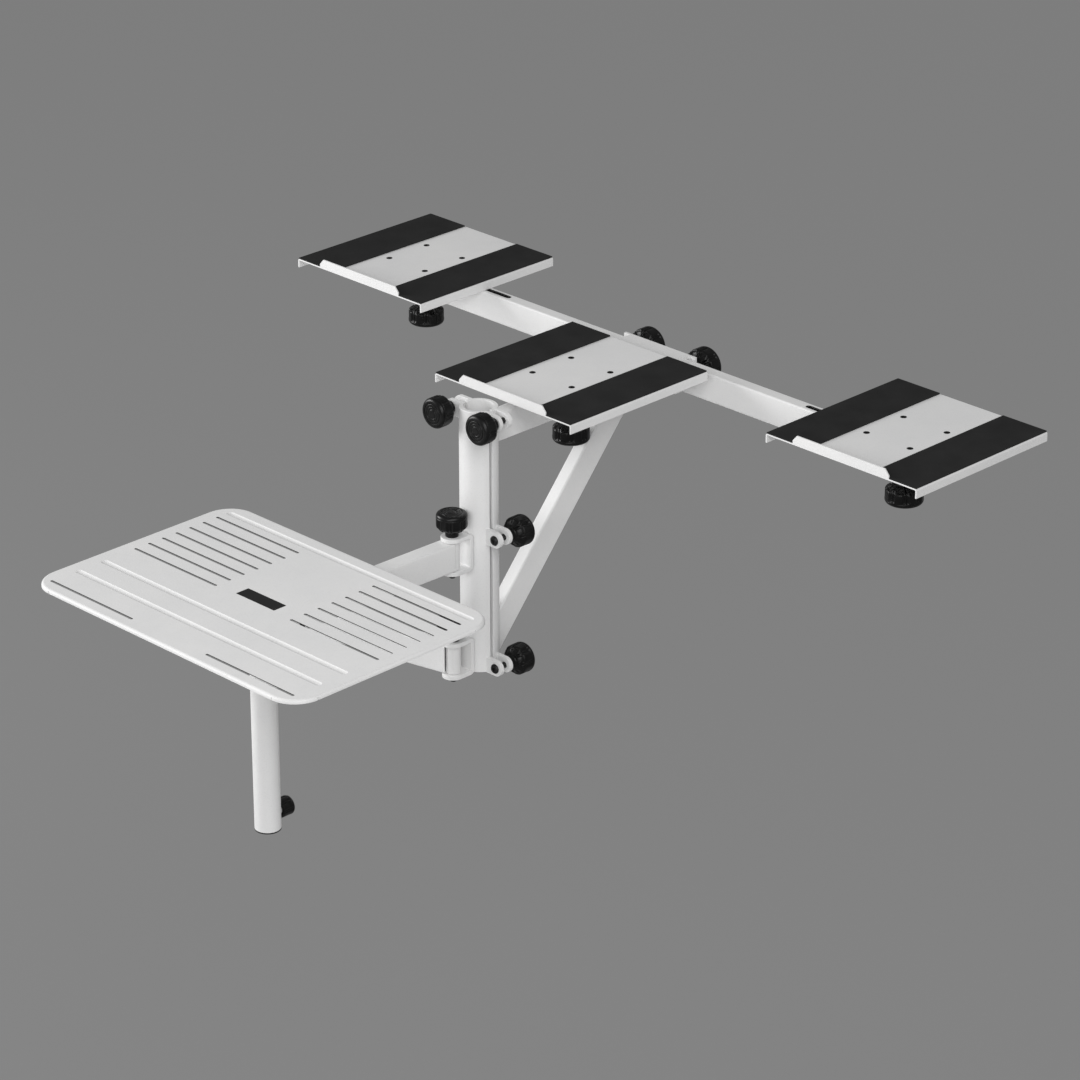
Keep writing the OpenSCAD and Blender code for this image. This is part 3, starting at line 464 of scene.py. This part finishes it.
def skirt_round_boss(radius, neck_r):
    """Rings of the thumb knob's seat and of its skirt."""
    foot = -SKIRT_REACH
    profile = [(neck_r + out, up, 0, 0) for out, up in SKIRT_SEAT]
    profile += [(SKIRT_BORE, z, 0, 0) for z in (SKIRT_ROOM, foot * 0.5, foot + SKIRT_CHAMFER)]
    profile += [(SKIRT_BORE + SKIRT_CHAMFER, foot, 0, 0)]
    profile += [(radius - inwards, foot + up, share, 0) for inwards, up, share in SKIRT_EDGE]
    profile += [(radius, z, 1, 0) for z in SKIRT_RINGS]
    return profile


def knob_profile(radius, neck_r, neck_h, body_h, bore_r, bore_h, scale, skirted):
    """Radius, height, share of the groove and share of the pocket of a knob's rings."""
    top = neck_h + body_h
    under_h = body_h * UNDER_SHARE
    rim_r = body_h * RIM_SHARE
    band = neck_h + under_h
    rim = top - rim_r
    profile = [(bore_r, bore_h, 0, 0), (bore_r, BORE_CHAMFER, 0, 0), (bore_r + BORE_CHAMFER, 0, 0, 0)]
    if skirted:
        profile += skirt_round_boss(radius, neck_r)
    else:
        profile += neck_and_underside(radius, neck_r, neck_h, under_h)
    profile += [(radius, band + up, 1, 0) for up in GRIP_START]
    profile += [(radius, (band + rim) / 2, 1, 0)]
    profile += [(radius - inwards, rim - down * scale, share, 0) for inwards, down, share in GRIP_END]
    profile += [(radius, rim - RIM_LINE, 0, 0)]
    for step in range(1, RIM_STEPS + 1):
        a = math.radians(step * 90 / RIM_STEPS)
        profile.append((radius - rim_r + rim_r * math.cos(a), rim + rim_r * math.sin(a), 0, 0))
    for share, depth in FACE_RINGS:
        ring = radius * share
        profile += [(ring + out, top + depth * down, 0, 0) for out, down in RING_SHAPE]
        profile += [(ring - RING_INNER_EDGE[0], top + RING_INNER_EDGE[1], 0, 0)]
    profile += [(radius * share, top + rise, 0, 0) for share, rise in FACE_MIDDLE]
    return profile


def knob_rows(radius, neck_r, neck_h, body_h, lobes, bore_r, bore_h, scale, skirted=False):
    """Rings of a knob from the bore's top round its outside to the middle of its face, and both tips."""
    count = lobes * KNOB_STEPS
    rows = []
    for r, z, groove, pocket in knob_profile(radius, neck_r, neck_h, body_h, bore_r, bore_h, scale, skirted):
        row = []
        for i in range(count):
            angle = 2 * math.pi * i / count
            dip = groove_depth(lobes, angle)
            web = eased((1 - abs(dip)) * WEB_GAIN - WEB_OFFSET)
            lift = POCKET_DEPTH * scale * pocket * web
            row.append(around(r - SCALLOP_DEPTH * scale * groove * dip, angle, z + lift))
        rows.append(row)
    return rows, around(0, 0, bore_h), around(0, 0, neck_h + body_h + FACE_CROWN)


def make_knob(node):
    joint = JOINTS[node + "_turn"]
    mesh = grid_mesh(node + "_shape", *knob_rows(**KNOB_KIND.get(node, SMALL_KNOB)))
    mesh.transform(axis_matrix(joint["pos_m"], joint["axis"]))
    stand_in(node, mesh, KNOB_SMOOTH_ANGLE, KNOB_PLASTIC)


# Tray screws

CAD_HEAD_RADIUS = 3.5 * MM
SCREW_STEPS = 24
SHANK_RADIUS = 2.0
SHANK_CHAMFER = 0.4
CONE_HEIGHT = 1.6
HEAD_RADIUS = 4.4
HEAD_PROUD = 0.15
# Step out from the head's radius and height above the tray
HEAD_EDGE = ((-0.35, -0.05), (0.0, 0.0), (-0.1, HEAD_PROUD * 0.7), (-0.4, HEAD_PROUD))
SOCKET_REACH = 1.5
SOCKET_DEPTH = 1.3
SOCKET_LAND = 0.9
SOCKET_CHAMFER = 0.12
DRILL_TIP = 0.3


def six_sided(reach, angle):
    """Distance from the middle to the wall of a hexagonal socket."""
    turn = (angle + math.pi / 6) % (math.pi / 3) - math.pi / 6
    return reach / math.cos(turn)


def screw_rows(length):
    """Rings of a countersunk screw from its end to the bottom of its socket, and both tips."""
    profile = [(SHANK_RADIUS - SHANK_CHAMFER, -length, False), (SHANK_RADIUS, -length + SHANK_CHAMFER, False)]
    profile += [(SHANK_RADIUS, -CONE_HEIGHT, False)]
    profile += [(HEAD_RADIUS + out, up, False) for out, up in HEAD_EDGE]
    profile += [(SOCKET_REACH + SOCKET_LAND, HEAD_PROUD, False)]
    profile += [(SOCKET_REACH + SOCKET_CHAMFER, HEAD_PROUD, True)]
    profile += [(SOCKET_REACH, 0.0, True), (SOCKET_REACH, -SOCKET_DEPTH, True)]
    rows = []
    for r, z, in_socket in profile:
        row = []
        for i in range(SCREW_STEPS):
            angle = 2 * math.pi * i / SCREW_STEPS
            row.append(around(six_sided(r, angle) if in_socket else r, angle, z))
        rows.append(row)
    return rows, around(0, 0, -length), around(0, 0, -SOCKET_DEPTH - DRILL_TIP)


def repeat(mesh, places):
    """Turns a mesh into copies of itself at several places."""
    work = bmesh.new()
    for place in places:
        one = mesh.copy()
        one.transform(Matrix.Translation(place))
        work.from_mesh(one)
        bpy.data.meshes.remove(one)
    work.to_mesh(mesh)
    work.free()


def make_screws(node):
    low, high = (Vector(corner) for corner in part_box(node))
    places = [
        Vector((x, y, high.z))
        for x in (low.x + CAD_HEAD_RADIUS, high.x - CAD_HEAD_RADIUS)
        for y in (low.y + CAD_HEAD_RADIUS, high.y - CAD_HEAD_RADIUS)
    ]
    mesh = grid_mesh(node + "_shape", *screw_rows((high.z - low.z) / MM))
    repeat(mesh, places)
    stand_in(node, mesh, SCREW_SMOOTH_ANGLE, SCREW_STEEL)


# Sheet and tube pieces with rounded edges

X, Y, Z = 0, 1, 2
MERGE_DISTANCE = 2e-6
FLAT_ANGLE = 0.8
SHARP_ANGLE = 32
BEVEL_SEGMENTS = 2
UPRIGHT_SHARE = 0.99

# Rubber pads, whose corners are round when seen from above
PAD_NODES = ("left_tray_pads", "middle_tray_pads", "right_tray_pads")
PAD_CORNER = 3.0 * MM
PAD_CORNER_ANGLE = 60
PAD_CORNER_SEGMENTS = 5

# The laptop tray's pressed grooves: distance from its middle, half sizes and share of the CAD's depth
GROOVE_ROWS = (-109.2 * MM, -66.9 * MM, 146.9 * MM)
GROOVE_HALF_WIDTH = 5.1 * MM
GROOVE_HALF_LENGTH = 233.0 * MM
GROOVE_SHARE = 0.55
GROOVE_FACING = 0.1

# The laptop tray's slots, which widen below so that the ground shows through them
TRAY_SHEET = 2.0 * MM
SLOT_RIM = 12.0 * MM
SLOT_UNDER_BEVEL = 1.4 * MM
SLOT_UNDER_SPREAD = 1.2 * MM
WALL_SHARE = 0.9
WALL_FACING = 0.1
WALL_PLAY = 0.1 * MM
LEVEL_PLAY = 0.05 * MM

# The crossbar, whose inside gets a painted shade
TUBE_MARGIN = 0.5 * MM
SLOTTED_NODES = ("laptop_tray", "crossbar")

# Width of the rounding in millimetres
EDGE_WIDTH = {
    "back_shell": 0.5, "front_shell": 0.5, "upper_hinge_bracket": 0.9, "lower_hinge_bracket": 0.9,
    "crossbar_receiver": 0.8, "support_arm": 0.9, "brace": 0.9, "crossbar": 0.7,
    "upper_arm": 0.8, "lower_arm": 0.8, "post_tube": 0.5, "post_stub": 0.4,
    "upper_bushing": 0.4, "lower_bushing": 0.4, "post_plug": 0.4, "lower_arm_plug": 0.6,
    "crossbar_plug_left": 0.6, "crossbar_plug_right": 0.6,
    "left_tray": 0.35, "middle_tray": 0.35, "right_tray": 0.35,
    "left_tray_mount": 0.6, "middle_tray_mount": 0.6, "right_tray_mount": 0.6,
    "left_tray_pads": 0.4, "middle_tray_pads": 0.4, "right_tray_pads": 0.4,
    "laptop_tray": 0.3, "laptop_hub": 0.5, "hub_nuts": 0.4, "laptop_badge": 0.2,
    "top_clamp_bolts": 0.3, "front_clamp_bolts": 0.3, "stub_bolts": 0.3,
}


def bevel(work, edges, offset, segments, **settings):
    return bmesh.ops.bevel(work, geom=edges, offset=offset, offset_type="OFFSET", segments=segments,
                           profile=0.5, affect="EDGES", clamp_overlap=True, **settings)


def extent(verts, axis):
    """Least and greatest coordinate of some verts along an axis."""
    values = [vert.co[axis] for vert in verts]
    return min(values), max(values)


def sharper(edge, angle):
    return len(edge.link_faces) == 2 and edge.calc_face_angle(0) > math.radians(angle)


def upright(edge):
    run = edge.verts[1].co - edge.verts[0].co
    return abs(run.z) > UPRIGHT_SHARE * run.length


def round_corners(work):
    """Rounds the upright edges of flat pads."""
    corners = [edge for edge in work.edges if upright(edge) and sharper(edge, PAD_CORNER_ANGLE)]
    bevel(work, corners, PAD_CORNER, PAD_CORNER_SEGMENTS)


def soften_grooves(work):
    """Makes the tray's pressed grooves, and their ribs below, shallower."""
    low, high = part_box("laptop_tray")
    middle_x = (low[0] + high[0]) / 2
    middle_y = (low[1] + high[1]) / 2
    top = high[2]
    under = top - TRAY_SHEET
    work.normal_update()
    for vert in work.verts:
        near_row = any(abs(vert.co.y - middle_y - row) < GROOVE_HALF_WIDTH for row in GROOVE_ROWS)
        if not near_row or abs(vert.co.x - middle_x) > GROOVE_HALF_LENGTH:
            continue
        if vert.normal.z > GROOVE_FACING:
            vert.co.z = top - (top - vert.co.z) * GROOVE_SHARE
        elif vert.normal.z < -GROOVE_FACING and vert.co.z < under:
            vert.co.z = under - (under - vert.co.z) * GROOVE_SHARE


def slot_walls(work, under):
    """The walls of the tray's slots, which lie inside its rim."""
    left, right = extent(work.verts, X)
    front, back = extent(work.verts, Y)
    walls = []
    for face in work.faces:
        middle = face.calc_center_median()
        inside_x = left + SLOT_RIM < middle.x < right - SLOT_RIM
        inside_y = front + SLOT_RIM < middle.y < back - SLOT_RIM
        foot, head = extent(face.verts, Z)
        tall = head - foot > TRAY_SHEET * WALL_SHARE and middle.z > under - WALL_PLAY
        if inside_x and inside_y and tall and abs(face.normal.z) < WALL_FACING:
            walls.append(face)
    return walls


def spread_lower_ring(faces, under):
    """Moves the lower verts of the slots' bevels away from the slots."""
    outward = {}
    for face in faces:
        for vert in face.verts:
            if abs(vert.co.z - under) < LEVEL_PLAY:
                outward.setdefault(vert, Vector())
                outward[vert] -= Vector((face.normal.x, face.normal.y, 0))
    for vert, way in outward.items():
        if way.length > 0:
            vert.co += way.normalized() * SLOT_UNDER_SPREAD


def open_slots(work):
    """Gives slot walls the second material, a painted shade, and widens the slots below."""
    under = extent(work.verts, Z)[1] - TRAY_SHEET
    walls = slot_walls(work, under)
    lower = set()
    for face in walls:
        face.material_index = 1
        for edge in face.edges:
            if all(abs(vert.co.z - under) < LEVEL_PLAY for vert in edge.verts):
                lower.add(edge)
    made = bevel(work, list(lower), SLOT_UNDER_BEVEL, 1, material=0)
    work.normal_update()
    spread_lower_ring(made["faces"], under)


def paint_shade_inside(work):
    """Gives a tube's inner faces and the walls of its slots the second material, a painted shade."""
    axis_y = sum(extent(work.verts, Y)) / 2
    axis_z = sum(extent(work.verts, Z)) / 2
    end = extent(work.verts, X)[1]
    work.normal_update()
    for face in work.faces:
        middle = face.calc_center_median()
        outwards = face.normal.y * (middle.y - axis_y) + face.normal.z * (middle.z - axis_z)
        if outwards < TUBE_MARGIN and abs(middle.x) < end - TUBE_MARGIN:
            face.material_index = 1


def soften(node, width):
    """Puts a copy with rounded edges in place of a CAD node."""
    mesh = frame["nodes"][node].data.copy()
    mesh.name = node + "_shape"
    work = bmesh.new()
    work.from_mesh(mesh)
    bmesh.ops.remove_doubles(work, verts=work.verts, dist=MERGE_DISTANCE)
    bmesh.ops.dissolve_limit(work, angle_limit=math.radians(FLAT_ANGLE), verts=work.verts, edges=work.edges)
    if node in PAD_NODES:
        round_corners(work)
    if node == "laptop_tray":
        soften_grooves(work)
        open_slots(work)
    if node == "crossbar":
        paint_shade_inside(work)
    bevel(work, [edge for edge in work.edges if sharper(edge, SHARP_ANGLE)], width, BEVEL_SEGMENTS)
    work.to_mesh(mesh)
    work.free()
    materials = [OWN_MATERIAL.get(node, SLOT_MATERIAL[NODE_SLOT[node]])]
    # Slotted pieces get the painted shade as their second material
    if node in SLOTTED_NODES:
        materials.append(SLOT_PAINTED_SHADE)
    stand_in(node, mesh, SHEET_SMOOTH_ANGLE, *materials, weighted=True)


# Stage, light and camera

def seen_directly(tree):
    """1 for rays that show the background: straight ones, reflected ones and ones through a clear piece."""
    path = add(tree, "LightPath").outputs
    pair = {0: path["Is Camera Ray"], 1: path["Is Glossy Ray"]}
    mirrored = add(tree, "Math", pair, operation="MAXIMUM").outputs[0]
    pair = {0: mirrored, 1: path["Is Transmission Ray"]}
    return add(tree, "Math", pair, operation="MAXIMUM").outputs[0]


def floor_material():
    """A pale floor that lights the object from below, seen as an even grey with a faint shadow."""
    made = bpy.data.materials.new("floor_grey")
    made.use_nodes = True
    tree = made.node_tree
    tree.nodes.clear()
    clouds = noise(tree, object_place(tree), FLOOR_CLOUD_SCALE)
    darker = grey(FLOOR_ALBEDO * (1 - FLOOR_CLOUD_DEPTH))
    lighter = grey(FLOOR_ALBEDO * (1 + FLOOR_CLOUD_DEPTH))
    pale = add(tree, "BsdfDiffuse", {"Color": mixed(tree, clouds, darker, lighter)}).outputs[0]
    shown = add(tree, "BsdfDiffuse", {"Color": grey(FLOOR_SEEN_ALBEDO)}).outputs[0]
    even = add(tree, "Emission", {"Color": grey(BACKDROP_GREY), "Strength": 1.0}).outputs[0]
    seen = shader_mix(tree, FLOOR_SEEN_SHARE, even, shown)
    add(tree, "OutputMaterial", {"Surface": shader_mix(tree, seen_directly(tree), pale, seen)})
    return made


def make_floor():
    work = bmesh.new()
    bmesh.ops.create_grid(work, x_segments=FLOOR_CELLS, y_segments=FLOOR_CELLS, size=FLOOR_HALF)
    mesh = bpy.data.meshes.new("floor")
    work.to_mesh(mesh)
    work.free()
    floor = new_object("floor", mesh, floor_material())
    floor.location = (0, 0, FLOOR_Z)


def make_world():
    """An even surround for light, seen as a plain grey."""
    world = bpy.data.worlds.new("surround")
    bpy.context.scene.world = world
    world.use_nodes = True
    tree = world.node_tree
    tree.nodes.clear()
    light = add(tree, "Background", {"Color": (1, 1, 1, 1), "Strength": SURROUND_STRENGTH}).outputs[0]
    plain = add(tree, "Background", {"Color": grey(BACKDROP_GREY), "Strength": 1.0}).outputs[0]
    add(tree, "OutputWorld", {"Surface": shader_mix(tree, seen_directly(tree), light, plain)})


def softbox(name, place, width, height, power):
    light = bpy.data.lights.new(name, "AREA")
    light.shape = "RECTANGLE"
    light.size = width
    light.size_y = height
    light.energy = power
    lamp = bpy.data.objects.new(name, light)
    bpy.context.scene.collection.objects.link(lamp)
    lamp.location = place
    lamp.rotation_mode = "QUATERNION"
    lamp.rotation_quaternion = (LAMP_AIM - Vector(place)).to_track_quat("-Z", "Y")


def make_camera():
    data = bpy.data.cameras.new("camera")
    data.sensor_width = SENSOR_WIDTH
    data.lens = FOCAL_LENGTH
    data.clip_start = CLIP_NEAR
    data.clip_end = CLIP_FAR
    camera = bpy.data.objects.new("camera", data)
    bpy.context.scene.collection.objects.link(camera)
    right = VIEW_FORWARD.cross(VIEW_UP).normalized()
    up = right.cross(VIEW_FORWARD).normalized()
    back = -VIEW_FORWARD.normalized()
    turn = Matrix((right, up, back)).transposed().to_4x4()
    camera.matrix_world = Matrix.Translation(EYE) @ turn
    bpy.context.scene.camera = camera


for name in JOINTS:
    if name.endswith("_turn"):
        make_knob(name[:-len("_turn")])
for name in ("left_tray_screws", "middle_tray_screws", "right_tray_screws"):
    make_screws(name)
for name, width in EDGE_WIDTH.items():
    soften(name, width * MM)

# CAD nodes that are shown as they are get their material
for name, node in frame["nodes"].items():
    node.data.materials.clear()
    node.data.materials.append(SLOT_MATERIAL[NODE_SLOT[name]])

make_floor()
make_world()
for lamp in LAMPS:
    softbox(*lamp)
make_camera()

bpy.context.scene.view_settings.view_transform = "Standard"
